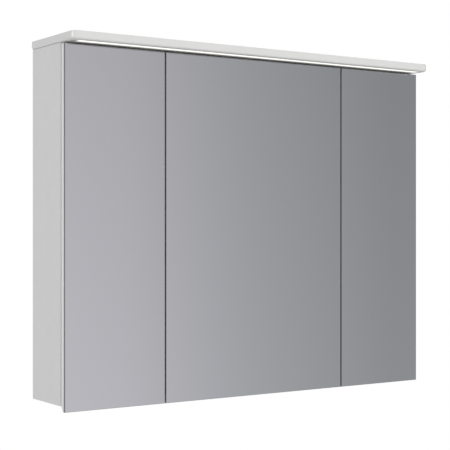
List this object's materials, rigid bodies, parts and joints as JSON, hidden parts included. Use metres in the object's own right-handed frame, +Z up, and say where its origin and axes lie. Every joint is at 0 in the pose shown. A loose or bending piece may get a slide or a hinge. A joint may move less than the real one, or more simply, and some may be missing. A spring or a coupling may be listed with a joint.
{
  "type": "mirror cabinet",
  "caption": "Wall-hung white bathroom mirror cabinet with hinged mirror doors, glass shelves and a canopy with a light band in its underside.",
  "frame": {"origin": "on the wall plane, midway between the two wall screw holes", "axes": "+X to the right, +Y into the wall, +Z up; the mirrors face -Y"},
  "size_m": [1, 0.203, 0.804],
  "materials": {
    "case_board": "white melamine, satin",
    "back_board": "white coated hardboard",
    "canopy_foil": "white foil wrap, gloss",
    "door_lacquer": "white lacquer, gloss",
    "mirror": "silvered float glass",
    "shelf_glass": "clear, ground edges",
    "nickel_steel": "nickel plated",
    "pin_steel": "bright steel",
    "screw_steel": "zinc plated",
    "cam_zinc": "die-cast zinc",
    "dowel_wood": "bare beech",
    "channel_aluminium": "anodised",
    "diffuser_opal": "opal, lit",
    "strip_white": "white circuit strip",
    "driver_plastic": "moulded",
    "grey_plastic": "moulded",
    "clip_plastic": "moulded",
    "switch_plastic": "moulded, gloss",
    "cable_sheath": "white sheath",
    "bumper_rubber": "clear soft pad"
  },
  "bodies": {
    "case": {"back_panel": "back_board", "bottom_panel": "case_board", "cable_clips": "clip_plastic", "cam_bolts": "screw_steel", "cam_locks": "cam_zinc", "canopy_board": "canopy_foil", "canopy_screws": "screw_steel", "carcass_dowels": "dowel_wood", "door_bumpers": "bumper_rubber", "glass_shelf_left_1": "shelf_glass", "glass_shelf_left_2": "shelf_glass", "glass_shelf_middle_1": "shelf_glass", "glass_shelf_middle_2": "shelf_glass", "glass_shelf_right_1": "shelf_glass", "glass_shelf_right_2": "shelf_glass", "hanger_plates": "nickel_steel", "hanger_screws": "screw_steel", "hanging_rail": "case_board", "hinge_arms_left": "nickel_steel", "hinge_arms_middle": "nickel_steel", "hinge_arms_right": "nickel_steel", "hinge_plates_left": "nickel_steel", "hinge_plates_middle": "nickel_steel", "hinge_plates_right": "nickel_steel", "hinge_screws": "screw_steel", "led_cable": "cable_sheath", "led_channel": "channel_aluminium", "led_diffuser": "diffuser_opal", "led_driver": "driver_plastic", "led_end_caps": "grey_plastic", "led_strip": "strip_white", "left_partition": "case_board", "left_side": "case_board", "partition_screws": "screw_steel", "right_partition": "case_board", "right_side": "case_board", "shelf_pins_left": "pin_steel", "shelf_pins_middle": "pin_steel", "shelf_pins_right": "pin_steel", "switch_body": "switch_plastic", "switch_cable": "cable_sheath", "terminal_block": "grey_plastic", "top_panel": "case_board"},
    "left_door": {"cup_screws_left": "screw_steel", "door_panel_left": "door_lacquer", "hinge_cups_left": "nickel_steel", "hinge_pins_left": "pin_steel", "mirror_left": "mirror"},
    "middle_door": {"cup_screws_middle": "screw_steel", "door_panel_middle": "door_lacquer", "hinge_cups_middle": "nickel_steel", "hinge_pins_middle": "pin_steel", "mirror_middle": "mirror"},
    "right_door": {"cup_screws_right": "screw_steel", "door_panel_right": "door_lacquer", "hinge_cups_right": "nickel_steel", "hinge_pins_right": "pin_steel", "mirror_right": "mirror"},
    "rocker": {"switch_rocker": "switch_plastic"}
  },
  "joints": [
    {"name": "left_door_hinge", "type": "hinge", "parent": "case", "child": "left_door", "pos_m": [-0.49038, -0.1529, -0.343], "axis": [0, 0, -1], "range_deg": [0, 95]},
    {"name": "middle_door_hinge", "type": "hinge", "parent": "case", "child": "middle_door", "pos_m": [0.24129, -0.1529, -0.343], "axis": [0, 0, 1], "range_deg": [0, 95]},
    {"name": "right_door_hinge", "type": "hinge", "parent": "case", "child": "right_door", "pos_m": [0.49038, -0.1529, -0.343], "axis": [0, 0, 1], "range_deg": [0, 95]},
    {"name": "rocker_tilt", "type": "hinge", "parent": "case", "child": "rocker", "pos_m": [0.14995, -0.019, -0.557], "axis": [-1, 0, 0], "range_deg": [0, 16]}
  ]
}
